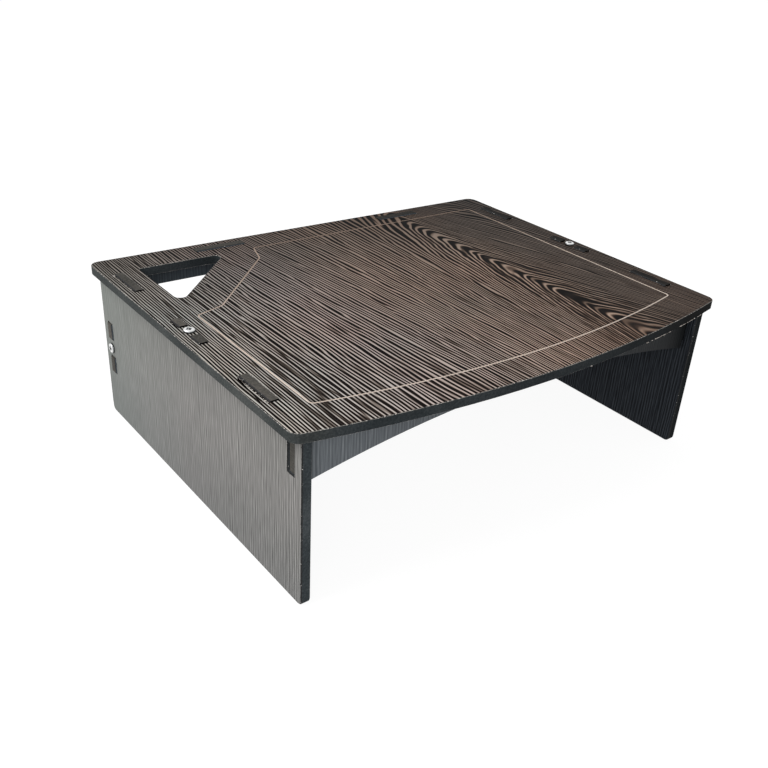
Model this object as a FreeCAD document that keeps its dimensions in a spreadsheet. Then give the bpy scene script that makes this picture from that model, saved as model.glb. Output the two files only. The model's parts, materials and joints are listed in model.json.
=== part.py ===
import FreeCAD, Part
import math
import os
import Sketcher

# A flat-pack monitor stand: a top with a bowed front, two side panels, a rear panel and a front apron,
# cut from one thickness of board, located by tabs in slots and held by four pan-head screws.
# X runs along the width, Y from front to rear, Z up. The origin is under the middle, on the floor.

# The driving sizes, in millimetres: name, value, meaning
SIZES = (
    ("board", 8, "thickness of every panel"),
    ("stand_width", 450, "width of the top"),
    ("top_depth", 341, "depth of the top along its sides"),
    ("front_bow", 24, "how far the front edge bows out in the middle"),
    ("top_corner", 9, "rounding of the top's four corners"),
    ("side_height", 142, "height of a side panel without its tabs"),
    ("side_depth", 338, "front to rear length of a side panel"),
    ("side_inset", 9, "side panel's outer face in from the top's side edge"),
    ("side_corner", 5, "rounding of a side panel's lower corners"),
    ("setback", 10, "apron and rear panel in from the side panel's edges"),
    ("tab_proud", 1, "how far a through tab stands out of its slot"),
    ("slot_gap", 0.2, "gap between a tab and each wall of its slot"),
    ("long_tab", 43, "length of a side panel's front and rear tabs"),
    ("front_tab_place", 41, "front tab's end from the side panel's front edge"),
    ("rear_tab_place", 36.5, "rear tab's end from the side panel's rear edge"),
    ("short_tab", 15, "length of the tabs on both sides of a screw"),
    ("screw_space", 19, "gap between the two short tabs"),
    ("top_screw_place", 168, "top screw from the side panel's front edge"),
    ("rear_screw_height", 71, "height of the screw through the side panel"),
    ("rear_top_tab", 50, "length of the rear panel's tabs in the top"),
    ("rear_top_tab_place", 105, "middle of those tabs from the stand's middle"),
    ("rear_strip", 16, "height of the rear panel over its cable opening"),
    ("rear_leg", 30, "width of the rear panel beside its cable opening"),
    ("rear_corner", 10, "rounding of the cable opening's upper corners"),
    ("rear_foot_gap", 2, "rear panel's lower edge above the floor"),
    ("apron_end", 43, "height of the apron at its ends"),
    ("apron_middle", 22, "height of the apron in its middle"),
    ("apron_tab", 34, "height of the apron's end tabs"),
    ("apron_tab_short", 1.5, "apron tab's end inside the side panel's outer face"),
    ("hole_inset", 32.5, "cable hole's legs from the top's side and rear edges"),
    ("hole_leg", 83.5, "legs of the cable hole's right triangle"),
    ("hole_corner", 5.5, "rounding of the cable hole's two sharp corners"),
    ("hole_square_corner", 2.5, "rounding of the cable hole's right-angled corner"),
    ("border_inset", 31.5, "border line from the top's edges"),
    ("border_bow", 21, "how far the border line's front bows out in the middle"),
    ("border_width", 1.3, "width of the border line's groove"),
    ("border_depth", 0.4, "depth of the border line's groove"),
    ("border_corner", 4, "rounding of the border line's corners"),
    ("notch_start", 115, "where the border leaves its frame to pass the hole"),
    ("notch_far", 107, "the border's bend beside the hole, along the frame"),
    ("notch_near", 26, "the same bend, in from the frame"),
    ("notch_corner", 12, "rounding of the border line beside the hole"),
    ("screw_length", 30, "length of a screw under its head"),
    ("screw_outer", 4.5, "outer diameter of the thread"),
    ("screw_core", 3.2, "diameter of the shank and the thread's core"),
    ("screw_pitch", 2, "pitch of the thread"),
    ("screw_thread", 20, "length of the thread's helix"),
    ("screw_tip", 4, "length of the pointed end"),
    ("screw_head", 9.4, "diameter of the pan head"),
    ("screw_head_height", 2.2, "height of the pan head"),
    ("screw_head_round", 1.5, "rounding of the pan head"),
    ("recess_arm", 5.2, "length of the cross recess's arms"),
    ("recess_width", 1.3, "width of the cross recess's arms"),
    ("recess_depth", 1.4, "depth of the cross recess"),
    ("passing_hole", 5, "diameter of the hole a screw passes through"),
    ("pilot_gap", 0.05, "gap between the thread's crest and the pilot hole"),
    ("pilot_spare", 2, "depth of the pilot hole beyond the screw's point"),
)


class Size:
    """A length as a number, and as the expression over the sheet that it comes from."""

    def __init__(self, number, text=None):
        self.number = float(number)
        self.text = text or repr(float(number))

    def join(self, other, sign, number):
        return Size(number, "(%s %s %s)" % (self.text, sign, other.text))

    def __add__(self, other):
        other = as_size(other)
        return self.join(other, "+", self.number + other.number)

    def __sub__(self, other):
        other = as_size(other)
        return self.join(other, "-", self.number - other.number)

    def __mul__(self, other):
        other = as_size(other)
        return self.join(other, "*", self.number * other.number)

    def __truediv__(self, other):
        other = as_size(other)
        return self.join(other, "/", self.number / other.number)

    def __neg__(self):
        return Size(-self.number, "(-1 * %s)" % self.text)


def as_size(value):
    return value if isinstance(value, Size) else Size(value)


def sheet_sizes(document):
    """Write the driving sizes to the document's sheet and return each by its name."""
    sheet = document.addObject("Spreadsheet::Sheet", "Sizes")
    sizes = {}
    for row, (name, value, meaning) in enumerate(SIZES, start=1):
        sheet.set("A%d" % row, meaning)
        sheet.set("B%d" % row, str(value))
        sheet.setAlias("B%d" % row, name)
        sizes[name] = Size(value, "Sizes." + name)
    document.recompute()
    return sizes


doc = FreeCAD.newDocument("monitor_stand")
size = sheet_sizes(doc)

# Places worked out from the driving sizes
board = size["board"]
gap = size["slot_gap"]
half_width = size["stand_width"] / 2
rear_edge = (size["top_depth"] + size["front_bow"]) / 2
top_front = rear_edge - size["top_depth"]
side_front = rear_edge - size["side_depth"]
top_under = size["side_height"]
top_face = top_under + board
side_outer = half_width - size["side_inset"]
side_inner = side_outer - board
side_middle = side_outer - board / 2
top_screw_y = side_front + size["top_screw_place"]
rear_face = rear_edge - size["setback"]
rear_front = rear_face - board
rear_middle = rear_face - board / 2
apron_front = side_front + size["setback"]
apron_rear = apron_front + board
short_step = (size["screw_space"] + size["short_tab"]) / 2
border_x = half_width - size["border_inset"]
border_y = rear_edge - size["border_inset"]
hole_x = half_width - size["hole_inset"]
hole_y = rear_edge - size["hole_inset"]
pilot_diameter = size["screw_outer"] + size["pilot_gap"] * 2

# Start and length, front to rear, of each side panel tab that passes up through the top
side_tabs = (
    ("front_tab", side_front + size["front_tab_place"], size["long_tab"]),
    ("lower_screw_tab", top_screw_y - short_step - size["short_tab"] / 2, size["short_tab"]),
    ("upper_screw_tab", top_screw_y + short_step - size["short_tab"] / 2, size["short_tab"]),
    ("rear_tab", rear_edge - size["rear_tab_place"] - size["long_tab"], size["long_tab"]),
)

# Lower ends of the rear panel's tabs that pass out through each side panel
rear_tabs = (
    ("low_tab", size["rear_screw_height"] - short_step - size["short_tab"] / 2),
    ("high_tab", size["rear_screw_height"] + short_step - size["short_tab"] / 2),
)


def bow_radius(half_chord, rise):
    """Radius of the arc that rises by rise over the middle of its chord."""
    return (half_chord * half_chord + rise * rise) / (rise * 2)


def bind(target, **properties):
    """Tie properties to the sheet: a double underscore stands for a dot in a property's path."""
    for path, length in properties.items():
        target.setExpression(path.replace("__", "."), as_size(length).text)


def add_box(body, name, low, extent, cut=False):
    kind = "SubtractiveBox" if cut else "AdditiveBox"
    feature = body.newObject("PartDesign::" + kind, name)
    bind(feature, Length=extent[0], Width=extent[1], Height=extent[2])
    bind(feature, Placement__Base__x=low[0], Placement__Base__y=low[1], Placement__Base__z=low[2])
    return feature


def add_cylinder(body, name, base, diameter, length, turn=None, cut=False):
    kind = "SubtractiveCylinder" if cut else "AdditiveCylinder"
    feature = body.newObject("PartDesign::" + kind, name)
    if turn:
        feature.Placement = FreeCAD.Placement(FreeCAD.Vector(), turn)
    bind(feature, Radius=diameter / 2, Height=length)
    bind(feature, Placement__Base__x=base[0], Placement__Base__y=base[1], Placement__Base__z=base[2])
    return feature


def arc_between(start, end, radius, bulge):
    """The short arc from start to end, bowed to the right of its chord for bulge 1, else to the left."""
    chord = end - start
    middle = (start + end) * 0.5
    right = FreeCAD.Vector(chord.y, -chord.x, 0).normalize() * bulge
    rise = radius - math.sqrt(radius * radius - chord.Length * chord.Length / 4)
    return Part.Arc(start, middle + right * rise, end)


def draw_outline(sketch, corners, arcs=None):
    """Close a loop through corners, with arcs as {index of the first corner: (radius, bulge)}."""
    arcs = arcs or {}
    points = [FreeCAD.Vector(x.number, y.number, 0) for x, y in corners]
    count = len(points)
    for index, point in enumerate(points):
        following = points[(index + 1) % count]
        if index in arcs:
            radius, bulge = arcs[index]
            sketch.addGeometry(arc_between(point, following, radius.number, bulge))
        else:
            sketch.addGeometry(Part.LineSegment(point, following))
    start_is_first = [sketch.getPoint(i, 1).isEqual(points[i], 1e-6) for i in range(count)]
    for index, (x, y) in enumerate(corners):
        previous = (index - 1) % count
        start = 1 if start_is_first[index] else 2
        end = 2 if start_is_first[previous] else 1
        sketch.addConstraint(Sketcher.Constraint("Coincident", previous, end, index, start))
        for direction, length in (("DistanceX", x), ("DistanceY", y)):
            rule = Sketcher.Constraint(direction, -1, 1, index, start, length.number)
            number = sketch.addConstraint(rule)
            sketch.setExpression("Constraints[%d]" % number, length.text)
    for index, (radius, bulge) in arcs.items():
        number = sketch.addConstraint(Sketcher.Constraint("Radius", index, radius.number))
        sketch.setExpression("Constraints[%d]" % number, radius.text)


def body_sketch(body, name, role, offset=None):
    """A sketch on one of the body's own origin planes, moved along that plane's normal by offset."""
    sketch = body.newObject("Sketcher::SketchObject", name)
    origin_plane = [item for item in body.Origin.OriginFeatures if item.Role == role][0]
    sketch.AttachmentSupport = [(origin_plane, "")]
    sketch.MapMode = "FlatFace"
    if offset:
        bind(sketch, AttachmentOffset__Base__z=offset)
    return sketch


def edges_along(shape, axis, places):
    """Names of the straight edges parallel to axis that pass through the given places across it."""
    across = [name for name in ("x", "y", "z") if name != axis]
    names = []
    for number, edge in enumerate(shape.Edges, start=1):
        first, last = edge.Vertexes[0].Point, edge.Vertexes[-1].Point
        for place in places:
            ends_match = all(
                abs(getattr(end, name) - length.number) < 1e-4
                for end in (first, last)
                for name, length in zip(across, place)
            )
            if ends_match and not first.isEqual(last, 1e-4):
                names.append("Edge%d" % number)
    return names


def top_edges(shape):
    """Names of the edges that lie in the shape's uppermost plane."""
    top = shape.BoundBox.ZMax
    return [
        "Edge%d" % number
        for number, edge in enumerate(shape.Edges, start=1)
        if edge.BoundBox.ZMin > top - 1e-4
    ]


def round_edges(body, name, radius, pick, *choices):
    """Round the edges that pick finds on the body so far, with one radius tied to the sheet."""
    doc.recompute()
    base = body.Tip
    feature = body.newObject("PartDesign::Fillet", name)
    feature.Base = (base, pick(base.Shape, *choices))
    bind(feature, Radius=radius)
    doc.recompute()


# Top panel
def top_body():
    """The top without its border line: outline, cable hole, slots and screw holes."""
    body = doc.addObject("PartDesign::Body", "top_board")
    outline = body_sketch(body, "top_outline", "XY_Plane", top_under)
    corners = (
        (-half_width, rear_edge),
        (-half_width, top_front),
        (half_width, top_front),
        (half_width, rear_edge),
    )
    draw_outline(outline, corners, {1: (bow_radius(half_width, size["front_bow"]), 1)})
    slab = body.newObject("PartDesign::Pad", "top_slab")
    slab.Profile = outline
    bind(slab, Length=board)
    round_edges(body, "top_corners", size["top_corner"], edges_along, "z", corners)

    hole = body_sketch(body, "cable_hole_outline", "XY_Plane", top_face)
    hole_square = (-hole_x, hole_y)
    hole_tips = (
        (-hole_x, hole_y - size["hole_leg"]),
        (size["hole_leg"] - hole_x, hole_y),
    )
    draw_outline(hole, (hole_square,) + hole_tips)
    cable_hole = body.newObject("PartDesign::Pocket", "cable_hole")
    cable_hole.Profile = hole
    cable_hole.Type = "ThroughAll"
    round_edges(body, "cable_hole_corners", size["hole_corner"], edges_along, "z", hole_tips)
    square_round = size["hole_square_corner"]
    round_edges(body, "cable_hole_square_corner", square_round, edges_along, "z", (hole_square,))

    slot_low = top_under - board
    slot_height = board * 3
    for side, sign in (("left", -1), ("right", 1)):
        slot_x = side_middle * sign - board / 2 - gap
        for name, start, length in side_tabs:
            place = (slot_x, start - gap, slot_low)
            extent = (board + gap * 2, length + gap * 2, slot_height)
            add_box(body, "%s_slot_%s" % (name, side), place, extent, cut=True)
        rear_slot_x = size["rear_top_tab_place"] * sign - size["rear_top_tab"] / 2 - gap
        extent = (size["rear_top_tab"] + gap * 2, board + gap * 2, slot_height)
        add_box(body, "rear_slot_" + side, (rear_slot_x, rear_front - gap, slot_low), extent, cut=True)
        hole_place = (side_middle * sign, top_screw_y, slot_low)
        add_cylinder(body, "screw_hole_" + side, hole_place, size["passing_hole"], slot_height, cut=True)
    doc.recompute()
    return body


def rounded_loop(name, loop, half_line, outward, corner_radii):
    """A thin solid inside the border loop grown or shrunk by half a line, with rounded corners."""
    offset = doc.addObject("Part::Offset2D", name + "_offset")
    offset.Source = loop
    offset.Join = "Intersection"
    bind(offset, Value=half_line * outward)
    solid = doc.addObject("Part::Extrusion", name + "_solid")
    solid.Base = offset
    solid.DirMode = "Custom"
    solid.Dir = FreeCAD.Vector(0, 0, 1)
    solid.Solid = True
    bind(solid, LengthFwd=size["border_depth"] + board)
    doc.recompute()
    rounding = doc.addObject("Part::Fillet", name + "_rounded")
    rounding.Base = solid
    edges = []
    for number, edge in enumerate(solid.Shape.Edges, start=1):
        first, last = edge.Vertexes[0].Point, edge.Vertexes[-1].Point
        upright = abs(first.x - last.x) < 1e-4 and abs(first.y - last.y) < 1e-4
        if upright:
            nearest = min(corner_radii, key=lambda corner: math.dist(corner[0], (first.x, first.y)))
            radius = nearest[1] + nearest[2] * outward * half_line.number
            edges.append((number, radius, radius))
    rounding.Edges = edges
    doc.recompute()
    return rounding


def border_groove():
    """The border line's groove: a closed line round the top that steps aside to pass the cable hole."""
    front_y = top_front - size["front_bow"] + size["border_inset"] + size["border_bow"]
    start, far, near = size["notch_start"], size["notch_far"], size["notch_near"]
    frame = size["border_corner"].number
    notch = size["notch_corner"].number
    # Each corner, its rounding, and whether it turns out of the loop (1) or into it (-1)
    corners = (
        ((-border_x, border_y - start), frame, 1),
        ((-border_x, front_y), frame, 1),
        ((border_x, front_y), frame, 1),
        ((border_x, border_y), frame, 1),
        ((start - border_x, border_y), frame, 1),
        ((far - border_x, border_y - near), notch, -1),
        ((near - border_x, border_y - far), notch, -1),
    )
    loop = doc.addObject("Sketcher::SketchObject", "border_loop")
    bind(loop, Placement__Base__z=top_face - size["border_depth"])
    draw_outline(loop, [corner for corner, radius, turn in corners], {1: (bow_radius(border_x, size["border_bow"]), 1)})
    radii = [((corner[0].number, corner[1].number), radius, turn) for corner, radius, turn in corners]
    half_line = size["border_width"] / 2
    outer = rounded_loop("border_outer", loop, half_line, 1, radii)
    inner = rounded_loop("border_inner", loop, half_line, -1, radii)
    groove = doc.addObject("Part::Cut", "border_groove")
    groove.Base = outer
    groove.Tool = inner
    doc.recompute()
    return groove


def top_panel():
    panel = doc.addObject("Part::Cut", "top_panel")
    panel.Base = top_body()
    panel.Tool = border_groove()
    return panel


# Side panels
def side_panel(side, sign):
    """One side panel: tabs up into the top, slots for the rear panel and a notch for the apron."""
    body = doc.addObject("PartDesign::Body", "side_panel_" + side)
    face_x = side_middle * sign - board / 2
    add_box(body, "blank", (face_x, side_front, as_size(0)), (board, size["side_depth"], size["side_height"]))
    foot_corners = ((side_front, as_size(0)), (rear_edge, as_size(0)))
    round_edges(body, "lower_corners", size["side_corner"], edges_along, "x", foot_corners)
    for name, start, length in side_tabs:
        add_box(body, name, (face_x, start, top_under), (board, length, board + size["tab_proud"]))
    pilot_depth = size["screw_length"] - board + size["pilot_spare"]
    pilot_place = (side_middle * sign, top_screw_y, top_under - pilot_depth)
    add_cylinder(body, "pilot_hole", pilot_place, pilot_diameter, pilot_depth, cut=True)
    cut_x = face_x - board
    cut_length = board * 3
    for name, low in rear_tabs:
        place = (cut_x, rear_front - gap, low - gap)
        extent = (cut_length, board + gap * 2, size["short_tab"] + gap * 2)
        add_box(body, name + "_slot", place, extent, cut=True)
    along_x = FreeCAD.Rotation(FreeCAD.Vector(0, 1, 0), 90)
    hole_place = (cut_x, rear_middle, size["rear_screw_height"])
    add_cylinder(body, "passing_hole", hole_place, size["passing_hole"], cut_length, along_x, cut=True)
    notch_place = (cut_x, apron_front - gap, top_under - size["apron_tab"])
    notch_extent = (cut_length, board + gap * 2, size["apron_tab"] + board)
    add_box(body, "apron_notch", notch_place, notch_extent, cut=True)
    return body


# Rear panel
def rear_panel():
    """The rear panel: two legs under a strip, tabs up into the top and out through the side panels."""
    body = doc.addObject("PartDesign::Body", "rear_panel")
    foot = size["rear_foot_gap"]
    opening_top = top_under - size["rear_strip"]
    add_box(body, "blank", (-side_inner, rear_front, foot), (side_inner * 2, board, top_under - foot))
    opening_x = side_inner - size["rear_leg"]
    opening_low = foot - board
    opening_extent = (opening_x * 2, board * 3, opening_top - opening_low)
    add_box(body, "opening", (-opening_x, rear_front - board, opening_low), opening_extent, cut=True)
    corners = ((-opening_x, opening_top), (opening_x, opening_top))
    round_edges(body, "opening_corners", size["rear_corner"], edges_along, "y", corners)
    tab_reach = board + size["tab_proud"]
    pilot_depth = size["screw_length"] - board + size["pilot_spare"]
    for side, sign in (("left", -1), ("right", 1)):
        top_tab_x = size["rear_top_tab_place"] * sign - size["rear_top_tab"] / 2
        extent = (size["rear_top_tab"], board, tab_reach)
        add_box(body, "top_tab_" + side, (top_tab_x, rear_front, top_under), extent)
        tab_x = (side_inner + tab_reach / 2) * sign - tab_reach / 2
        for name, low in rear_tabs:
            extent = (tab_reach, board, size["short_tab"])
            add_box(body, "%s_%s" % (name, side), (tab_x, rear_front, low), extent)
        along_x = FreeCAD.Rotation(FreeCAD.Vector(0, 1, 0), 90)
        pilot_x = (side_inner - pilot_depth / 2) * sign - pilot_depth / 2
        pilot_place = (pilot_x, rear_middle, size["rear_screw_height"])
        add_cylinder(body, "pilot_hole_" + side, pilot_place, pilot_diameter, pilot_depth, along_x, cut=True)
    return body


# Front apron
def front_apron():
    """The apron under the top's front: an arched lower edge and an end tab in each side panel's notch."""
    body = doc.addObject("PartDesign::Body", "front_apron")
    outline = body_sketch(body, "apron_outline", "XZ_Plane", -apron_rear)
    rise = size["apron_end"] - size["apron_middle"]
    end_low = top_under - size["apron_end"]
    corners = (
        (-side_inner, top_under),
        (-side_inner, end_low),
        (side_inner, end_low),
        (side_inner, top_under),
    )
    draw_outline(outline, corners, {1: (bow_radius(side_inner, rise), -1)})
    slab = body.newObject("PartDesign::Pad", "apron_slab")
    slab.Profile = outline
    bind(slab, Length=board)
    tab_reach = board - size["apron_tab_short"]
    for side, sign in (("left", -1), ("right", 1)):
        tab_x = (side_inner + tab_reach / 2) * sign - tab_reach / 2
        place = (tab_x, apron_front, top_under - size["apron_tab"])
        add_box(body, "end_tab_" + side, place, (tab_reach, board, size["apron_tab"]))
    return body


# Screws
def pan_screw(name, place, turn):
    """A pan-head screw with a cross recess, its head's underside at place and its head along turned +Z."""
    body = doc.addObject("PartDesign::Body", name)
    zero = as_size(0)
    shank = size["screw_length"] - size["screw_tip"]
    add_cylinder(body, "shank", (zero, zero, -shank), size["screw_core"], shank)
    tip = body.newObject("PartDesign::AdditiveCone", "tip")
    tip_radius = size["screw_core"] / 10
    bind(tip, Radius1=tip_radius, Radius2=size["screw_core"] / 2, Height=size["screw_tip"])
    bind(tip, Placement__Base__z=-size["screw_length"])
    add_cylinder(body, "head", (zero, zero, zero), size["screw_head"], size["screw_head_height"])
    round_edges(body, "head_round", size["screw_head_round"], top_edges)
    recess_low = size["screw_head_height"] - size["recess_depth"]
    arm, width = size["recess_arm"], size["recess_width"]
    extents = ((arm, width, size["screw_head_height"]), (width, arm, size["screw_head_height"]))
    for number, extent in enumerate(extents, start=1):
        low = (-extent[0] / 2, -extent[1] / 2, recess_low)
        add_box(body, "recess_%d" % number, low, extent, cut=True)

    # The tooth's base lies a tenth of the core's radius inside the core, so that the two join
    tooth = body_sketch(body, "tooth", "XZ_Plane")
    root = size["screw_core"] * 0.45
    crest = size["screw_outer"] / 2
    low = -shank
    width = size["screw_pitch"] * 0.6
    draw_outline(tooth, ((root, low), (crest, low + width / 2), (root, low + width)))
    thread = body.newObject("PartDesign::AdditiveHelix", "thread")
    thread.Profile = tooth
    thread.ReferenceAxis = (tooth, ["V_Axis"])
    thread.Mode = "pitch-height-angle"
    bind(thread, Pitch=size["screw_pitch"], Height=size["screw_thread"])
    body.Placement = FreeCAD.Placement(FreeCAD.Vector(), turn)
    bind(body, Placement__Base__x=place[0], Placement__Base__y=place[1], Placement__Base__z=place[2])
    return body


# Assemble, check and write
nodes = [top_panel(), rear_panel(), front_apron()]
for side, sign in (("left", -1), ("right", 1)):
    nodes.append(side_panel(side, sign))
    top_place = (side_middle * sign, top_screw_y, top_face)
    nodes.append(pan_screw("top_screw_" + side, top_place, FreeCAD.Rotation()))
    outward = FreeCAD.Rotation(FreeCAD.Vector(0, 1, 0), 90 * sign)
    rear_place = (side_outer * sign, rear_middle, size["rear_screw_height"])
    nodes.append(pan_screw("rear_screw_" + side, rear_place, outward))
doc.recompute()

for item in doc.Objects:
    if "Invalid" in item.State or "Error" in item.State:
        raise RuntimeError("%s failed: %s" % (item.Label, item.State))

os.makedirs("parts", exist_ok=True)
for node in nodes:
    shape = node.Shape
    if shape.isNull() or not shape.isValid() or len(shape.Solids) != 1:
        raise RuntimeError("%s has no single valid solid" % node.Label)
    shape.exportStep(os.path.join("parts", node.Label + ".step"))
    print("%-18s volume %9.1f mm3, %3d faces" % (node.Label, shape.Volume, len(shape.Faces)))
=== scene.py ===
import json
import math

import bmesh
import bpy
from mathutils import Matrix, Vector, noise

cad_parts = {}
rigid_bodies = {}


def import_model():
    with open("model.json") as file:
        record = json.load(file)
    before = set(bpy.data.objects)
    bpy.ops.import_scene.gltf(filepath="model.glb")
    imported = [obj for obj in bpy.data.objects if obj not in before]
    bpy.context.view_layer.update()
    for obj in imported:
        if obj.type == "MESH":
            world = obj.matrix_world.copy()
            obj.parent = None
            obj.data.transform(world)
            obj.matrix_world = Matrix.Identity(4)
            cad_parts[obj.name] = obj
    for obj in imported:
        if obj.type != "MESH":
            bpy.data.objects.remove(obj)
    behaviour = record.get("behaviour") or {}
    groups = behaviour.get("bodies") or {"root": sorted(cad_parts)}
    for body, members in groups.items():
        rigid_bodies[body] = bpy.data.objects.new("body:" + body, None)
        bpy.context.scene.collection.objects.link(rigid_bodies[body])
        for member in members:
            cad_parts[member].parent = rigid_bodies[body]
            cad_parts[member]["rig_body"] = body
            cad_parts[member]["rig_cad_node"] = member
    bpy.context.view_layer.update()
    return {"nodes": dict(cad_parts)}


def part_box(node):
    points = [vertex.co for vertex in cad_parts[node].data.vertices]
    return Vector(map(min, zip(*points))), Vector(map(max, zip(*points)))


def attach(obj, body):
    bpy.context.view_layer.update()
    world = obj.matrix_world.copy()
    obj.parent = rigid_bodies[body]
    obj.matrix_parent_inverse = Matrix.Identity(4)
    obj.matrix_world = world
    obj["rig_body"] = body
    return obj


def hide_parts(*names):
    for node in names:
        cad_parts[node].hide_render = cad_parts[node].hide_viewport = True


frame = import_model()
mm = 0.001
print("frame loaded: %d CAD nodes" % len(frame["nodes"]))


def hexToLinear(hexText):
    channels = [int(hexText[i:i + 2], 16) / 255 for i in (1, 3, 5)]
    linear = [c / 12.92 if c <= 0.04045 else ((c + 0.055) / 1.055) ** 2.4 for c in channels]
    return (*linear, 1.0)


def newMaterial(name):
    material = bpy.data.materials.new(name)
    material.use_nodes = True
    material.node_tree.nodes.clear()
    return material


def addNode(owner, kind, settings=None, links=None):
    # a link starts at a socket, or at a node's first output
    tree = owner.node_tree
    node = tree.nodes.new(kind)
    for name, value in (settings or {}).items():
        if name == "stops":  # a ramp's positions and colours
            ramp = node.color_ramp
            ramp.elements[0].position, ramp.elements[1].position = value[0][0], value[-1][0]
            ramp.elements[0].color, ramp.elements[1].color = hexToLinear(value[0][1]), hexToLinear(value[-1][1])
            for position, colour in value[1:-1]:
                ramp.elements.new(position).color = hexToLinear(colour)
        elif name == "curve":  # a curve's points, from left to right
            points = node.mapping.curves[0].points
            points[0].location, points[-1].location = value[0], value[-1]
            for point in value[1:-1]:
                points.new(*point)
            node.mapping.update()
        elif isinstance(name, str) and hasattr(node, name):
            setattr(node, name, value)
        else:
            node.inputs[name].default_value = value
    for name, source in (links or {}).items():
        if isinstance(source, bpy.types.Node):
            source = source.outputs[0]
        tree.links.new(source, node.inputs[name])
    return node


def finishMaterial(material, shader):
    addNode(material, "ShaderNodeOutputMaterial", None, {"Surface": shader})
    return material


multiplied = {"data_type": "RGBA", "blend_type": "MULTIPLY", 0: 1.0}  # the settings of a full colour product
boardIor = 1.5  # of resin and of pressed fibre

# The grain of a flat-sawn wenge board: how the lines lean and close up across the board's width
topGrain = {
    "figureAxis": 108 * mm,  # the cathedral figure's middle, right of the stand's middle
    "figureTip": 8 * mm,  # how blunt the figure's tips are
    "wander": 7 * mm,  # how far the lines wander sideways
    "wanderScale": (8, 2.2, 1),
    "ripple": (12 * mm, 1 * mm),  # the finer waves, in the figure and away from it
    "rippleScale": (28, 17, 1),
    "rippleReach": 60 * mm,  # how far from its axis the figure ends
    "figureContrast": 0.36,  # how strongly the lines show on the figure's axis, 1 is as elsewhere
    "halfWidth": 225 * mm,
    "leanFrom": 10 * mm,  # the lean turns about this line, so far in front of the middle
    # place across the top from left (0) to right (1), and the lines' lean towards the figure, 0.5 is none
    "lean": [(0, 0.52), (0.12, 0.5), (0.25, 0.47), (0.36, 0.42), (0.47, 0.46), (0.6, 0.56), (0.74, 0.71),
             (0.84, 0.79), (0.93, 0.68), (1, 0.6)],
    "leanRange": 0.5,
}


def figuredGrain(material, coords, grain):
    # gives the place across the grain in metres, bent into the cathedral figure, the place along it,
    # and 1 on the figure's axis down to 0 away from it
    wander = addNode(material, "ShaderNodeMapping", {"Scale": grain["wanderScale"]}, {"Vector": coords})
    wanderNoise = addNode(material, "ShaderNodeTexNoise", {"Scale": 1, "Detail": 1}, {"Vector": wander})
    sideways = addNode(material, "ShaderNodeMath", {"operation": "MULTIPLY_ADD", 1: grain["wander"],
                       2: -grain["wander"] / 2 - grain["figureAxis"]}, {0: wanderNoise})
    split = addNode(material, "ShaderNodeSeparateXYZ", None, {0: coords})
    fromAxis = addNode(material, "ShaderNodeMath", {"operation": "ADD"}, {0: split.outputs[0], 1: sideways})
    square = addNode(material, "ShaderNodeMath", {"operation": "MULTIPLY"}, {0: fromAxis, 1: fromAxis})
    blunt = addNode(material, "ShaderNodeMath", {"operation": "ADD", 1: grain["figureTip"] ** 2}, {0: square})
    distance = addNode(material, "ShaderNodeMath", {"operation": "SQRT"}, {0: blunt})
    across = addNode(material, "ShaderNodeMapRange", {"From Min": -grain["halfWidth"],
                     "From Max": grain["halfWidth"]}, {0: split.outputs[0]})
    lean = addNode(material, "ShaderNodeFloatCurve", {"curve": grain["lean"]}, {"Value": across})
    slope = addNode(material, "ShaderNodeMath", {"operation": "MULTIPLY_ADD", 1: grain["leanRange"] * 2,
                    2: -grain["leanRange"]}, {0: lean})
    along = addNode(material, "ShaderNodeMath", {"operation": "ADD", 1: grain["leanFrom"]}, {0: split.outputs[1]})
    shift = addNode(material, "ShaderNodeMath", {"operation": "MULTIPLY"}, {0: slope, 1: along})
    place = addNode(material, "ShaderNodeMath", {"operation": "ADD"}, {0: distance, 1: shift})
    ripple = addNode(material, "ShaderNodeMapping", {"Scale": grain["rippleScale"]}, {"Vector": coords})
    rippleNoise = addNode(material, "ShaderNodeTexNoise", {"Scale": 1, "Detail": 2}, {"Vector": ripple})
    rippleDepth = addNode(material, "ShaderNodeMapRange", {"From Max": grain["rippleReach"],
                          "To Min": grain["ripple"][0], "To Max": grain["ripple"][1]}, {0: distance})
    rippled = addNode(material, "ShaderNodeMath", {"operation": "MULTIPLY_ADD"},
                      {0: rippleNoise, 1: rippleDepth, 2: place})
    figure = addNode(material, "ShaderNodeMapRange", {"From Max": grain["rippleReach"], "To Min": 1, "To Max": 0},
                     {0: distance})
    return rippled, split.outputs[1], figure


def straightGrain(material, coords, across, look):
    # an upright grain: the place across it, with a slow wander, and the place along Z
    spread = addNode(material, "ShaderNodeMapping", {"Scale": look["wanderScale"]}, {"Vector": coords})
    wanderNoise = addNode(material, "ShaderNodeTexNoise", {"Scale": 1, "Detail": 2}, {"Vector": spread})
    split = addNode(material, "ShaderNodeSeparateXYZ", None, {0: coords})
    place = addNode(material, "ShaderNodeMath", {"operation": "MULTIPLY_ADD", 1: look["wander"]},
                    {0: wanderNoise, 2: split.outputs[across]})
    return place, split.outputs[2], None


def drawnNoise(material, place, along, spacing, length, detail):
    # noise drawn out along the grain
    sized = addNode(material, "ShaderNodeMath", {"operation": "DIVIDE", 1: spacing}, {0: place})
    drawn = addNode(material, "ShaderNodeMath", {"operation": "DIVIDE", 1: length}, {0: along})
    vector = addNode(material, "ShaderNodeCombineXYZ", None, {0: sized, 1: drawn})
    return addNode(material, "ShaderNodeTexNoise", {"noise_dimensions": "2D", "Scale": 1, "Detail": detail},
                   {"Vector": vector})


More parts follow.
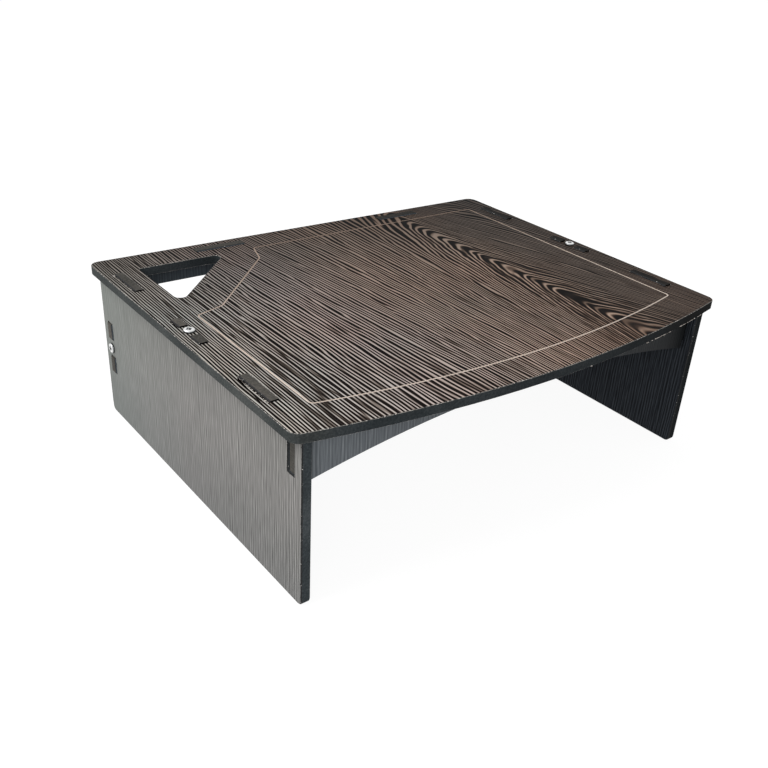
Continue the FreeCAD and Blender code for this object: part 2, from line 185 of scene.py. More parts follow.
def paintedShadingAlong(material, coords, tone, colour):
    # painted shading: the colour made darker by a ramp along one of the stand's axes
    axis, low, high, stops = tone
    split = addNode(material, "ShaderNodeSeparateXYZ", None, {0: coords})
    across = addNode(material, "ShaderNodeMapRange", {"From Min": low, "From Max": high}, {0: split.outputs[axis]})
    ramp = addNode(material, "ShaderNodeValToRGB", {"stops": stops}, {0: across})
    return addNode(material, "ShaderNodeMix", multiplied, {6: colour, 7: ramp}).outputs[2]


# Melamine-faced board: a printed wenge paper under clear resin, pressed on a textured plate, satin
def wengeMelamine(name, look, grain=None, across=1):
    material = newMaterial(name)
    coords = addNode(material, "ShaderNodeTexCoord").outputs["Object"]
    if grain:
        place, along, figure = figuredGrain(material, coords, grain)
    else:
        place, along, figure = straightGrain(material, coords, across, look)
    split = addNode(material, "ShaderNodeSeparateXYZ", None, {0: coords})
    total = addNode(material, "ShaderNodeMath", {"operation": "ADD", 0: 0.0, 1: 0.0})
    for spacing, length, detail, share in look["layers"]:
        streak = drawnNoise(material, place, along, spacing, length, detail)
        offset = addNode(material, "ShaderNodeMath", {"operation": "SUBTRACT", 1: share / 2}, {0: total})
        total = addNode(material, "ShaderNodeMath", {"operation": "MULTIPLY_ADD", 1: share}, {0: streak, 2: offset})
    reachAxis, reachFrom, reachTo = look["ringReach"]
    ringSets = [(ring, split.outputs[reachAxis], reachFrom, reachTo) for ring in look["rings"]]
    if figure:
        ringSets += [(ring, figure, 0, 1) for ring in look["figureRings"]]
    calm, restless, faint, strong = look["ringStrength"]
    for (period, drift, driftSpacing, driftLength, nearShare, farShare), measure, low, high in ringSets:
        uneven = drawnNoise(material, place, along, driftSpacing, driftLength, 1)
        drifted = addNode(material, "ShaderNodeMath", {"operation": "MULTIPLY_ADD", 1: 2 * math.pi * drift},
                          {0: uneven})
        phase = addNode(material, "ShaderNodeMath", {"operation": "MULTIPLY_ADD", 1: 2 * math.pi / period},
                        {0: place, 2: drifted})
        ring = addNode(material, "ShaderNodeMath", {"operation": "SINE"}, {0: phase})
        share = addNode(material, "ShaderNodeMapRange", {"From Min": low, "From Max": high, "To Min": nearShare,
                        "To Max": farShare}, {0: measure})
        strength = addNode(material, "ShaderNodeMapRange", {"From Min": calm, "From Max": restless,
                           "To Min": faint, "To Max": strong}, {0: uneven})
        shared = addNode(material, "ShaderNodeMath", {"operation": "MULTIPLY"}, {0: strength, 1: share})
        total = addNode(material, "ShaderNodeMath", {"operation": "MULTIPLY_ADD"}, {0: ring, 1: shared, 2: total})
    if figure:
        contrast = addNode(material, "ShaderNodeMapRange", {"To Min": 1, "To Max": grain["figureContrast"]},
                           {0: figure})
        total = addNode(material, "ShaderNodeMath", {"operation": "MULTIPLY"}, {0: total, 1: contrast})
    for middle, halfWidth, depth in look["darkRings"]:
        beside = addNode(material, "ShaderNodeMath", {"operation": "SUBTRACT", 1: middle}, {0: place})
        apart = addNode(material, "ShaderNodeMath", {"operation": "ABSOLUTE"}, {0: beside})
        dark = addNode(material, "ShaderNodeMapRange", {"interpolation_type": "SMOOTHSTEP", "From Max": halfWidth,
                       "To Min": depth, "To Max": 0}, {0: apart})
        total = addNode(material, "ShaderNodeMath", {"operation": "SUBTRACT"}, {0: total, 1: dark})
    axis, low, high, atLow, atHigh = look["gain"]
    gain = addNode(material, "ShaderNodeMapRange", {"From Min": low, "From Max": high, "To Min": atLow,
                   "To Max": atHigh}, {0: split.outputs[axis]})
    lines = addNode(material, "ShaderNodeMath", {"operation": "MULTIPLY_ADD", 2: look["level"]}, {0: total, 1: gain})
    colour = addNode(material, "ShaderNodeValToRGB", {"stops": look["colours"]}, {0: lines})
    cloud = addNode(material, "ShaderNodeTexNoise", {"Scale": look["cloudScale"], "Detail": 2}, {"Vector": coords})
    tint = addNode(material, "ShaderNodeValToRGB", {"stops": look["tints"]}, {0: cloud})
    surface = addNode(material, "ShaderNodeMix", multiplied, {6: colour, 7: tint}).outputs[2]
    for tone in look["tones"]:
        surface = paintedShadingAlong(material, coords, tone, surface)
    rough = addNode(material, "ShaderNodeMapRange", {"To Min": look["roughness"][1], "To Max": look["roughness"][0]},
                    {0: lines})
    bump = addNode(material, "ShaderNodeBump", {"Strength": look["bump"][0], "Distance": look["bump"][1]},
                   {"Height": lines})
    shader = addNode(material, "ShaderNodeBsdfPrincipled", {"IOR": boardIor, "Specular IOR Level": look["specular"]},
                     {"Base Color": surface, "Roughness": rough, "Normal": bump})
    return finishMaterial(material, shader)


# The top's face: brown wenge with strong dark pores and pale lines, brown over its middle, with a painted grey sheen
# at the left and painted shade to the right and the rear
topLook = {
    # uneven streaks: spacing across, length along, detail and share
    "layers": ((7 * mm, 300 * mm, 1, 0.06), (1.3 * mm, 30 * mm, 0, 0.24)),
    # sets of rings: spacing, how many rings they drift, the drift's spacing and length,
    # and the share at either end of the reach
    "rings": ((3.45 * mm, 1.6, 12 * mm, 85 * mm, 0.1, 0.36), (2.4 * mm, 1.1, 10 * mm, 60 * mm, 0.3, 0.12)),
    "ringReach": (0, -210 * mm, -140 * mm),  # its axis and ends: the rings are finer at the left edge
    # the coarse bands of the figure, their share away from its axis and on it
    "figureRings": ((6.8 * mm, 1.6, 20 * mm, 40 * mm, 0, 0.05), (3.9 * mm, 2, 10 * mm, 24 * mm, 0, 0.13)),
    "ringStrength": (0.35, 0.65, 0.85, 1.1),  # the drift's noise from low to high, and the rings' strength there
    # single dark lines of the figure: place from its axis, half width and depth
    "darkRings": ((-3 * mm, 2 * mm, 0.15), (9 * mm, 1.5 * mm, 0.12), (22 * mm, 1.5 * mm, 0.1)),
    "gain": (1, -182.5 * mm, 182.5 * mm, 1.65, 5.2),  # how strongly the lines show, from front to rear
    "level": 0.43,  # where between the dark lines' colour (0) and the pale lines' (1) the ground lies
    "colours": [(0, "#080302"), (0.25, "#140c09"), (0.5, "#51463f"), (0.75, "#aca199"), (1, "#fff8f3")],
    "cloudScale": 7,
    "tints": [(0.35, "#f4f2f0"), (0.65, "#fff2ea")],
    # painted shading: an axis, its two ends, and the colours between them, from left to right and from front to rear;
    # painted sheen at the left, painted shade to the right and the rear
    "tones": ((0, -225 * mm, 225 * mm,
               [(0, "#dde9ec"), (0.25, "#d2ced0"), (0.4, "#cac2bd"), (0.5, "#ccc0b7"), (0.6, "#b9ada4"),
                (0.72, "#ccbdb1"), (0.83, "#8d827a"), (1, "#70655e")]),
              (1, -182.5 * mm, 182.5 * mm,
               [(0, "#ffffff"), (0.35, "#dadad9"), (0.6, "#cdccca"), (1, "#8e8a87")])),
    "roughness": (0.45, 0.65),  # of the pale lines and of the dark ones
    "bump": (0.25, 0.1 * mm),  # its strength and depth
    "specular": 0.04,
}
# The side panels' outer faces: the same print, painted as a quiet grey sheen with faint upright lines
sideSheenLook = dict(
    topLook,
    wander=12 * mm,
    wanderScale=(9, 9, 3),
    layers=((6 * mm, 70 * mm, 1, 0.16), (0.8 * mm, 14 * mm, 0, 0.4)),
    rings=((3.4 * mm, 1.4, 11 * mm, 90 * mm, 0.14, 0.14), (2.5 * mm, 1.6, 8 * mm, 60 * mm, 0.16, 0.16)),
    darkRings=(),
    gain=(1, -155.5 * mm, 182.5 * mm, 1.3, 0.65),
    level=0.5,
    colours=[(0, "#5f5f5d"), (0.5, "#868583"), (1, "#aeadaa")],
    tints=[(0.35, "#f4f6f5"), (0.65, "#ffffff")],
    # painted shade: nearly black above 142 mm, where the tabs pass through the top, and a little darker low down
    tones=((2, 0, 151 * mm,
            [(0, "#e6e8ea"), (0.56, "#ffffff"), (0.94, "#f6f8f6"), (0.945, "#1c1d1e"), (1, "#1c1d1e")]),
           (1, -155.5 * mm, 182.5 * mm, [(0, "#fcf9f9"), (0.5, "#fdfafa"), (1, "#f6fdfa")])),
    specular=0.2,
)
# The apron's faces: the print painted as a grey in the top's painted shade, and painted shade darker to the right
apronShadeLook = dict(
    sideSheenLook,
    gain=(0, -208 * mm, 208 * mm, 0.9, 0.9),
    colours=[(0, "#52585b"), (0.5, "#767b80"), (1, "#989ca0")],
    tones=((0, -208 * mm, 208 * mm,
            [(0, "#ffffff"), (0.5, "#d8d8d8"), (0.83, "#686868"), (0.95, "#4a4a4a"), (1, "#4a4a4a")]),),
    specular=0.1,
)
# The faces inside the stand and under the top: the print painted dark charcoal as painted shade, with a faint upright
# grain
innerShadeLook = dict(
    sideSheenLook,
    gain=(1, -155.5 * mm, 182.5 * mm, 2.2, 1.8),
    colours=[(0, "#16191d"), (0.5, "#2b2f35"), (1, "#454a50")],
    tones=(),
    specular=0.08,
)
# The rear panel's faces: the print painted a paler charcoal as painted shade, with a fainter grain, as its strip
# shows through the cable hole
rearShadeLook = dict(
    innerShadeLook,
    gain=(1, -155.5 * mm, 182.5 * mm, 0.7, 0.7),
    colours=[(0, "#42484e"), (0.5, "#575f66"), (1, "#6f767d")],
)

topFace = wengeMelamine("wengeMelamineTop", topLook, topGrain)
underShadeFace = wengeMelamine("wengeMelamineUnder", innerShadeLook, topGrain)
sideSheenFace = wengeMelamine("wengeMelamineSide", sideSheenLook)
innerShadeFace = wengeMelamine("wengeMelamineInner", innerShadeLook)
apronShadeFace = wengeMelamine("wengeMelamineApron", apronShadeLook, across=0)
rearShadeFace = wengeMelamine("wengeMelamineRear", rearShadeLook, across=0)


# Sawn edge of dyed fibreboard: charcoal, fine pressed fibres, nearly matt, with painted shade darker to the right
edgeLook = {
    "fibre": 1.5 * mm,
    "bands": 50 * mm,
    "bandShare": 0.5,
    "colours": [(0.33, "#353a3d"), (0.5, "#444a4d"), (0.67, "#585d60")],
    "tones": (0, -225 * mm, 225 * mm, [(0, "#ffffff"), (1, "#6c6c6c")]),
    "roughness": 0.6,
    "bump": (0.3, 0.08 * mm),
    "specular": 0.02,
}
# The top's edge: painted shade that turns it nearly black at its right end
topEdgePaintedShade = [(0, "#fff8ee"), (0.03, "#f6efe6"), (0.08, "#d8d8d8"), (0.5, "#b8b8b8"), (0.74, "#909090"),
                (0.88, "#2c2c2c"), (1, "#101010")]
topEdgeLook = dict(edgeLook, tones=(0, -225 * mm, 225 * mm, topEdgePaintedShade))
# The tabs' ends are painted a lighter, browner grey as painted light from above, and their sides are painted nearly
# black as painted shade where they pass through the slots
tabEndPaintedLightLook = dict(edgeLook, colours=[(0.3, "#3a3936"), (0.5, "#53514d"), (0.7, "#6c6761")])
tabSideShadeLook = dict(edgeLook, colours=[(0.3, "#0b0b0c"), (0.5, "#131415"), (0.7, "#1f2021")])


def sawnEdge(name, look):
    material = newMaterial(name)
    coords = addNode(material, "ShaderNodeTexCoord").outputs["Object"]
    fibres = addNode(material, "ShaderNodeTexNoise", {"Scale": 1 / look["fibre"], "Detail": 2}, {"Vector": coords})
    bands = addNode(material, "ShaderNodeTexNoise", {"Scale": 1 / look["bands"], "Detail": 3}, {"Vector": coords})
    mixed = addNode(material, "ShaderNodeMix", {0: look["bandShare"]}, {2: fibres, 3: bands})
    colour = addNode(material, "ShaderNodeValToRGB", {"stops": look["colours"]}, {0: mixed})
    toned = paintedShadingAlong(material, coords, look["tones"], colour)
    bump = addNode(material, "ShaderNodeBump", {"Strength": look["bump"][0], "Distance": look["bump"][1]},
                   {"Height": fibres})
    shader = addNode(material, "ShaderNodeBsdfPrincipled", {"Roughness": look["roughness"], "IOR": boardIor,
                     "Specular IOR Level": look["specular"]}, {"Base Color": toned, "Normal": bump})
    return finishMaterial(material, shader)


cutEdge = sawnEdge("dyedFibreboardEdge", edgeLook)
topEdge = sawnEdge("dyedFibreboardTopEdge", topEdgeLook)
tabEnd = sawnEdge("dyedFibreboardTabEnd", tabEndPaintedLightLook)
tabSide = sawnEdge("dyedFibreboardTabSide", tabSideShadeLook)

# The arris between a face and a sawn edge: resin broken to pale chips and dark notches by the saw
topArrisLook = {
    # a pale grey body: broken resin, with a painted highlight along the rim
    "body": "#7d7a76",
    "chip": "#cfcac5",
    "notch": "#26282a",
    "grit": 1.4 * mm,
    "chips": (0.6, 0.03),  # where in the noise the chips start, and how softly
    "notches": (0.4, 0.04),  # where the notches end, and how softly
    "roughness": 0.55,
    "bump": (0.5, 0.2 * mm),
    "specular": 0.25,
}
# The same at the left slots, where the saw tore the print, and on the other boards, where it is nearly black
tornArrisLook = dict(topArrisLook, body="#cdc2b9", chip="#efe6de", notch="#3a3634", grit=1.8 * mm,
                     chips=(0.48, 0.03))
sideArrisLook = dict(topArrisLook, body="#1a1b1d", chip="#c4c1bd", notch="#0c0d0e", grit=1.6 * mm,
                     chips=(0.68, 0.03), notches=(0.5, 0.04))


def brokenArris(name, look):
    material = newMaterial(name)
    coords = addNode(material, "ShaderNodeTexCoord").outputs["Object"]
    grit = addNode(material, "ShaderNodeTexNoise", {"Scale": 1 / look["grit"], "Detail": 1.5}, {"Vector": coords})
    notchEnd, notchBlur = look["notches"]
    chipStart, chipBlur = look["chips"]
    stops = [(0, look["notch"]), (notchEnd, look["notch"]), (notchEnd + notchBlur, look["body"]),
             (chipStart, look["body"]), (chipStart + chipBlur, look["chip"]), (1, look["chip"])]
    colour = addNode(material, "ShaderNodeValToRGB", {"stops": stops}, {0: grit})
    bump = addNode(material, "ShaderNodeBump", {"Strength": look["bump"][0], "Distance": look["bump"][1]},
                   {"Height": grit})
    shader = addNode(material, "ShaderNodeBsdfPrincipled", {"Roughness": look["roughness"], "IOR": boardIor,
                     "Specular IOR Level": look["specular"]}, {"Base Color": colour, "Normal": bump})
    return finishMaterial(material, shader)


topArris = brokenArris("brokenResinTop", topArrisLook)
tornArris = brokenArris("brokenResinTorn", tornArrisLook)
sideArris = brokenArris("brokenResinSide", sideArrisLook)

# The border line: milled through the printed paper into raw pinkish tan fibreboard, matt and a little fuzzy
borderLook = {
    "colours": [(0.3, "#cfc2b7"), (0.5, "#e4d8ce"), (0.7, "#f6eee7")],
    "fuzz": 0.8 * mm,
    # painted shade: the line darker towards the rear
    "tones": (1, -182.5 * mm, 182.5 * mm, [(0, "#ffffff"), (0.5, "#eeeae6"), (0.8, "#cbc1b9"), (1, "#b8ada5")]),
    "roughness": 0.85,
    "bump": (0.4, 0.1 * mm),
    "specular": 0.1,
}


def milledLine(name, look):
    material = newMaterial(name)
    coords = addNode(material, "ShaderNodeTexCoord").outputs["Object"]
    fuzz = addNode(material, "ShaderNodeTexNoise", {"Scale": 1 / look["fuzz"], "Detail": 3}, {"Vector": coords})
    colour = addNode(material, "ShaderNodeValToRGB", {"stops": look["colours"]}, {0: fuzz})
    toned = paintedShadingAlong(material, coords, look["tones"], colour)
    bump = addNode(material, "ShaderNodeBump", {"Strength": look["bump"][0], "Distance": look["bump"][1]},
                   {"Height": fuzz})
    shader = addNode(material, "ShaderNodeBsdfPrincipled", {"Roughness": look["roughness"], "IOR": boardIor,
                     "Specular IOR Level": look["specular"]}, {"Base Color": toned, "Normal": bump})
    return finishMaterial(material, shader)


borderLine = milledLine("milledFibreboardLine", borderLook)

# Screws: zinc-plated steel, bright, with slightly blotched plating, and painted shade in the recess and at the head's
# rim
steelLook = {
    "colours": [(0.35, "#dcdddd"), (0.65, "#f6f6f5")],
    "roughness": (0.3, 0.7, 0.22, 0.42),  # the blotches' noise from low to high, and the roughness there
    "bump": (0.15, 0.05 * mm),
    "blotch": 1.5 * mm,
    # painted shade, from the head's middle out to its rim
    "grime": [(0, "#7a7b7c"), (0.36, "#8c8d8e"), (0.46, "#ffffff"), (0.86, "#fafafa"), (0.97, "#8a8c8d"),
              (1, "#5c5e5f")],
    "headRadius": 4.7 * mm,
}


def platedSteel(name, look, middle, across):
    material = newMaterial(name)
    coords = addNode(material, "ShaderNodeTexCoord").outputs["Object"]
    blotch = addNode(material, "ShaderNodeTexNoise", {"Scale": 1 / look["blotch"], "Detail": 3}, {"Vector": coords})
    colour = addNode(material, "ShaderNodeValToRGB", {"stops": look["colours"]}, {0: blotch})
    fromMiddle = addNode(material, "ShaderNodeVectorMath", {"operation": "SUBTRACT", 1: middle}, {0: coords})
    flat = addNode(material, "ShaderNodeVectorMath", {"operation": "MULTIPLY", 1: across}, {0: fromMiddle})
    radius = addNode(material, "ShaderNodeVectorMath", {"operation": "LENGTH"}, {0: flat})
    outward = addNode(material, "ShaderNodeMath", {"operation": "DIVIDE", 1: look["headRadius"]},
                      {0: radius.outputs["Value"]})
    grime = addNode(material, "ShaderNodeValToRGB", {"stops": look["grime"]}, {0: outward})
    headShaded = addNode(material, "ShaderNodeMix", multiplied, {6: colour, 7: grime})
    low, high, smooth, coarse = look["roughness"]
    rough = addNode(material, "ShaderNodeMapRange", {"From Min": low, "From Max": high, "To Min": smooth,
                    "To Max": coarse}, {0: blotch})
    bump = addNode(material, "ShaderNodeBump", {"Strength": look["bump"][0], "Distance": look["bump"][1]},
                   {"Height": blotch})
    shader = addNode(material, "ShaderNodeBsdfPrincipled", {"Metallic": 1.0},
                     {"Base Color": headShaded.outputs[2], "Roughness": rough, "Normal": bump})
    return finishMaterial(material, shader)


print("materials made: %d" % len(bpy.data.materials))


# Each board is the CAD board with its arrises broken and chipped as a saw leaves them.
# "beyond" has the axes and distances past which a surface belongs to a tab, "torn" the axis, the place and
# the depth of a rim that is torn deeper, and "chipReach" how deep the rims of the back and the face are chipped.
cutMaterials = (cutEdge, sideArris, borderLine, tabEnd, tabSide)
boards = {
    "topBoard": {
        "node": "top_panel", "axis": 2, "slot": "top_board", "arris": 0.35 * mm, "chipReach": (0.1 * mm, 0.3 * mm),
        "beyond": (), "torn": (0, -216.5 * mm, 4 * mm),
        "materials": (topFace, underShadeFace, topEdge, topArris, borderLine, tornArris),
    },
    "sideBoardLeft": {
        "node": "side_panel_left", "axis": 0, "slot": "side_board", "arris": 0.8 * mm, "chipReach": (1.1 * mm, 0),
        "beyond": ((2, 142 * mm),),
        "materials": (innerShadeFace, sideSheenFace, *cutMaterials),
    },
    "sideBoardRight": {
        "node": "side_panel_right", "axis": 0, "slot": "side_board", "arris": 0.8 * mm, "chipReach": (0, 1.1 * mm),
        "beyond": ((2, 142 * mm),),
        "materials": (sideSheenFace, innerShadeFace, *cutMaterials),
    },
    "rearBoard": {
        "node": "rear_panel", "axis": 1, "slot": "cross_board", "arris": 0.3 * mm, "chipReach": (0.2 * mm, 0),
        "beyond": ((0, 208 * mm), (2, 142 * mm)),
        "materials": (rearShadeFace, rearShadeFace, *cutMaterials),
    },
    "apronBoard": {
        "node": "front_apron", "axis": 1, "slot": "cross_board", "arris": 0.3 * mm, "chipReach": (0.2 * mm, 0),
        "beyond": ((0, 208 * mm),),
        "materials": (apronShadeFace, apronShadeFace, *cutMaterials),
    },
}
# places in a board's list of materials
faceIndex, backIndex, edgeIndex, arrisIndex, lineIndex, endIndex, tabIndex = range(7)
tornIndex = 5  # in the top's list only

cutting = {
    "merge": 0.005 * mm,  # points nearer than this are one
    "flatAngle": 0.2,  # faces that meet at less than this, in degrees, are joined
    "smoothAngle": 25,
    "facing": 0.99,  # the normal's share along the board's axis on a face, at least
    "tabFacing": 0.9,  # the same on a tab's end, along its own axis
    "wallFacing": 0.1,  # on a wall, at most
    "wallShare": 0.9,  # of the board's thickness that a wall spans, at least
    "lineDepth": 0.5 * mm,  # how deep under the face the border line's floor can lie
    "tornReach": 0.5 * mm,  # how far from its middle line a torn arris lies
}
chipping = {
    "pitch": 0.9 * mm,  # how short the runs of a chipped rim are
    "small": 1.3 * mm,  # the spacing of small and of large chips, and the large ones' share
    "large": 6 * mm,
    "largeShare": 0.6,
    "start": 0.1,  # the noise above which a chip breaks off
    "tornReach": 0.3 * mm,  # how far from the torn line a rim is torn deeper
}


def copyOfNode(nodeName, pieceName):
    bpy.ops.object.select_all(action="DESELECT")
    source = frame["nodes"][nodeName]
    source.select_set(True)
    bpy.context.view_layer.objects.active = source
    bpy.ops.object.duplicate()
    piece = bpy.context.view_layer.objects.active
    piece.name = piece.data.name = pieceName
    piece.parent = None
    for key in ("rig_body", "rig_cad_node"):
        del piece[key]
    piece.data.materials.clear()
    return piece


def editMesh(piece, *steps):
    bpy.ops.object.select_all(action="DESELECT")
    piece.select_set(True)
    bpy.context.view_layer.objects.active = piece
    bpy.ops.object.mode_set(mode="EDIT")
    bpy.ops.mesh.select_mode(type="EDGE")
    for step in steps:
        step()
    bpy.ops.object.mode_set(mode="OBJECT")


def selectArrises(piece, axis, low, high):
    # the edges between one of the board's two faces and a wall that goes through the board
    mesh = piece.data
    facesAt = {}
    for polygon in mesh.polygons:
        polygon.select = False
        for key in polygon.edge_keys:
            facesAt.setdefault(key, []).append(polygon)
    for vertex in mesh.vertices:
        vertex.select = False
    wallHeight = (high - low) * cutting["wallShare"]
    for edge in mesh.edges:
        onFace = onWall = False
        for polygon in facesAt[edge.key]:
            heights = [mesh.vertices[i].co[axis] for i in polygon.vertices]
            facing = abs(polygon.normal[axis])
            if facing > cutting["facing"] and min(abs(heights[0] - low), abs(heights[0] - high)) < cutting["merge"]:
                onFace = True
            if facing < cutting["wallFacing"] and max(heights) - min(heights) > wallHeight:
                onWall = True
        edge.select = onFace and onWall


def breakArrises(piece, axis, low, high, reach, torn):
    # the laminate's rim is split into short runs and jumps inward where a chip broke off
    mesh = bmesh.new()
    mesh.from_mesh(piece.data)
    outward = Vector([float(i == axis) for i in range(3)])
    arrisIndices = (arrisIndex, tornIndex) if torn else (arrisIndex,)
    rims = []
    for edge in mesh.edges:
        sides = [face for face in edge.link_faces if face.material_index in arrisIndices]
        heights = [vertex.co[axis] for vertex in edge.verts]
        depths = [depth for plane, depth in zip((low, high), reach)
                  if max(abs(h - plane) for h in heights) < cutting["merge"]]
        if len(sides) == 1 and any(depths) and edge.calc_length() > chipping["pitch"] * 2:
            away = (edge.verts[1].co - edge.verts[0].co).cross(outward).normalized()
            if (sides[0].calc_center_median() - edge.verts[0].co).dot(away) > 0:
                away = -away
            deep = torn and all(abs(v.co[torn[0]] - torn[1]) < chipping["tornReach"] for v in edge.verts)
            rims.append((edge, away * (torn[2] if deep else depths[0])))
    chips = []
    for edge, away in rims:
        start, end = edge.verts
        runs = int(edge.calc_length() / chipping["pitch"])
        for left in range(runs, 1, -1):
            start = bmesh.utils.edge_split(edge, start, 1 / left)[1]
            edge = next(other for other in start.link_edges if end in other.verts)
            chips.append((start, away))
    for vertex, away in chips:
        large = noise.noise(vertex.co / chipping["large"])
        chip = noise.noise(vertex.co / chipping["small"]) + chipping["largeShare"] * large
        vertex.co += away * max(0, chip - chipping["start"])
    mesh.to_mesh(piece.data)
    mesh.free()


def beyondShoulder(polygon, mesh, limits):
    return any(all(abs(mesh.vertices[i].co[k]) > limit - cutting["merge"] for i in polygon.vertices)
               for k, limit in limits)


for pieceName, board in boards.items():
    piece = copyOfNode(board["node"], pieceName)
    axis = board["axis"]
    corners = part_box(board["node"])
    low, high = corners[0][axis], corners[1][axis]
    for material in board["materials"]:
        piece.data.materials.append(material)
    editMesh(piece,
             lambda: bpy.ops.mesh.select_all(action="SELECT"),
             lambda: bpy.ops.mesh.remove_doubles(threshold=cutting["merge"]),
             lambda: bpy.ops.mesh.dissolve_limited(angle_limit=math.radians(cutting["flatAngle"])),
             lambda: bpy.ops.mesh.select_all(action="DESELECT"))
    selectArrises(piece, axis, low, high)
    editMesh(piece, lambda: bpy.ops.mesh.bevel(offset=board["arris"], offset_type="OFFSET", segments=1,
                                               affect="EDGES", clamp_overlap=False, material=arrisIndex))
    for polygon in piece.data.polygons:
        if polygon.material_index == arrisIndex:
            continue
        heights = [piece.data.vertices[i].co[axis] for i in polygon.vertices]
        isFace = abs(polygon.normal[axis]) > cutting["facing"]
        if isFace and min(heights) > high - cutting["merge"]:
            polygon.material_index = faceIndex
        elif isFace and max(heights) < low + cutting["merge"]:
            polygon.material_index = backIndex
        elif pieceName == "topBoard" and min(heights) > high - cutting["lineDepth"]:
            polygon.material_index = lineIndex
        elif beyondShoulder(polygon, piece.data, board["beyond"]):
            atEnd = any(abs(polygon.normal[k]) > cutting["tabFacing"] for k, limit in board["beyond"])
            polygon.material_index = endIndex if atEnd else tabIndex
        else:
            polygon.material_index = edgeIndex
    torn = board.get("torn")
    if torn:
        for polygon in piece.data.polygons:
            nearLine = abs(polygon.center[torn[0]] - torn[1]) < cutting["tornReach"]
            if polygon.material_index == arrisIndex and nearLine:
                polygon.material_index = tornIndex
    breakArrises(piece, axis, low, high, board["chipReach"], torn)
    bpy.ops.object.shade_smooth_by_angle(angle=math.radians(cutting["smoothAngle"]))
    for polygon in piece.data.polygons:
        polygon.use_smooth = polygon.material_index == edgeIndex
    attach(piece, "root")
    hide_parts(board["node"])
    print("%s: %d faces" % (pieceName, len(piece.data.polygons)))

# Flakes of pale resin that the saw left on the top's lower front arris, at the right
flakes = {
    # how far right of the middle, how long and how high, in mm
    "places": [(32, 1.5, 0.6), (107, 3, 0.6), (114, 1.5, 0.5), (119, 1.5, 0.6), (132, 24, 0.3), (161, 3.5, 0.7),
               (167, 6, 0.4), (173.5, 1.6, 0.6), (180, 8, 0.3), (186, 1.8, 0.7), (196, 7, 0.45)],
    "depth": 0.3 * mm,
    "frontRadius": 1066.7 * mm,  # of the top's bowed front edge
}
bpy.ops.object.select_all(action="DESELECT")
topBoard = bpy.data.objects["topBoard"]
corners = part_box("top_panel")
made = [topBoard]
for across, length, height in flakes["places"]:
    bend = math.asin(across * mm / flakes["frontRadius"])
    front = corners[0][1] + flakes["frontRadius"] * (1 - math.cos(bend))
    bpy.ops.mesh.primitive_cube_add(size=1, location=(across * mm, front, corners[0][2] + height * mm / 2),
                                    rotation=(0, 0, bend), scale=(length * mm, flakes["depth"], height * mm))
    flake = bpy.context.view_layer.objects.active
    flake.data.materials.append(tornArris)
    made.append(flake)
for flake in made:
    flake.select_set(True)
bpy.context.view_layer.objects.active = topBoard
bpy.ops.object.join()
print("resin flakes joined to the top")

for nodeName, node in frame["nodes"].items():
    if "screw" in nodeName:
        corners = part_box(nodeName)
        middle = [(a + b) / 2 for a, b in zip(*corners)]
        across = (1, 1, 0) if nodeName.startswith("top") else (0, 1, 1)
        node.data.materials.clear()
        node.data.materials.append(platedSteel("zincPlatedSteel" + nodeName.title().replace("_", ""), steelLook,
                                               middle, across))
print("screws plated")


# A plain pale floor that shows white and keeps a soft shadow, and a white backdrop
studio = {
    "floorSize": 14,
    "floorColour": "#c8c8c8",
    "floorShow": 0.93,  # how much of the floor's white is its own, the rest is the light that falls on it
    "floorCatch": "#707070",
    "ambient": 0.44,
    # name, place, size and power
    "lamps": (("keyLamp", (-1.9, 0.5, 2.1), 1.6, 42), ("fillLamp", (-1.6, -2.2, 1.2), 1.8, 22)),
}


def shownRays(owner):
    # 1 for what the camera sees straight, in a gloss or through glass
    path = addNode(owner, "ShaderNodeLightPath")
    gloss = addNode(owner, "ShaderNodeMath", {"operation": "MAXIMUM"},
                    {0: path.outputs["Is Camera Ray"], 1: path.outputs["Is Glossy Ray"]})
    return addNode(owner, "ShaderNodeMath", {"operation": "MAXIMUM"},
                   {0: gloss, 1: path.outputs["Is Transmission Ray"]})


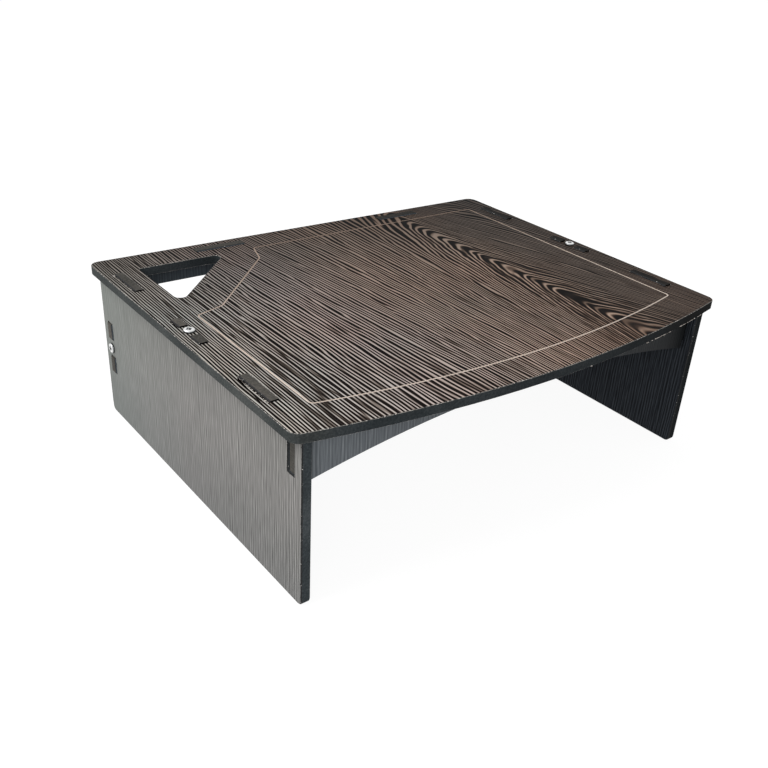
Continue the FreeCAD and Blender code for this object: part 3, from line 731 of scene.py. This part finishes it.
bpy.ops.object.select_all(action="DESELECT")
bpy.ops.mesh.primitive_plane_add(size=studio["floorSize"])
floor = bpy.context.view_layer.objects.active
floor.name = "floor"
floorPaint = newMaterial("paleFloor")
bounce = addNode(floorPaint, "ShaderNodeBsdfDiffuse", {"Color": hexToLinear(studio["floorColour"])})
caught = addNode(floorPaint, "ShaderNodeBsdfDiffuse", {"Color": hexToLinear(studio["floorCatch"])})
glow = addNode(floorPaint, "ShaderNodeEmission", {"Strength": studio["floorShow"]})
seen = addNode(floorPaint, "ShaderNodeAddShader", None, {0: caught, 1: glow})
floorMix = addNode(floorPaint, "ShaderNodeMixShader", None, {0: shownRays(floorPaint), 1: bounce, 2: seen})
floor.data.materials.append(finishMaterial(floorPaint, floorMix))

world = bpy.data.worlds.new("studioWhite")
world.use_nodes = True
world.node_tree.nodes.clear()
bpy.context.scene.world = world
brightness = addNode(world, "ShaderNodeMapRange", {"To Min": studio["ambient"], "To Max": 1.0}, {0: shownRays(world)})
backdrop = addNode(world, "ShaderNodeBackground", {"Color": (1, 1, 1, 1)}, {"Strength": brightness})
addNode(world, "ShaderNodeOutputWorld", None, {"Surface": backdrop})

for lampName, place, size, power in studio["lamps"]:
    lampData = bpy.data.lights.new(lampName, "AREA")
    lampData.size = size
    lampData.energy = power
    lamp = bpy.data.objects.new(lampName, lampData)
    bpy.context.scene.collection.objects.link(lamp)
    lamp.location = place
    lamp.rotation_euler = (-Vector(place)).to_track_quat("-Z", "Y").to_euler()
print("studio lit")


# The camera, where the photograph was taken from
viewpoint = {
    "azimuth": -41.06,
    "elevation": 29.30,
    "roll": -4.74,
    "place": (-483.1 * mm, -578.2 * mm, 453.3 * mm),
    "lens": 42.415,
    "sensor": 36,
    "shift": (-0.0520, 0.0261),
    "nearest": 10 * mm,
}
turn, rise, roll = (math.radians(viewpoint[name]) for name in ("azimuth", "elevation", "roll"))
backward = Vector((math.sin(turn) * math.cos(rise), -math.cos(turn) * math.cos(rise), math.sin(rise)))
level = (-backward).cross(Vector((0, 0, 1))).normalized()
down = (-backward).cross(level)
right = level * math.cos(roll) + down * math.sin(roll)
upward = level * math.sin(roll) - down * math.cos(roll)
cameraData = bpy.data.cameras.new("photoCamera")
cameraData.sensor_width = viewpoint["sensor"]
cameraData.lens = viewpoint["lens"]
cameraData.shift_x, cameraData.shift_y = viewpoint["shift"]
cameraData.clip_start = viewpoint["nearest"]
camera = bpy.data.objects.new("photoCamera", cameraData)
bpy.context.scene.collection.objects.link(camera)
camera.matrix_world = Matrix.Translation(viewpoint["place"]) @ Matrix((right, upward, backward)).transposed().to_4x4()
bpy.context.scene.camera = camera
bpy.context.scene.view_settings.view_transform = "Standard"
print("camera set")
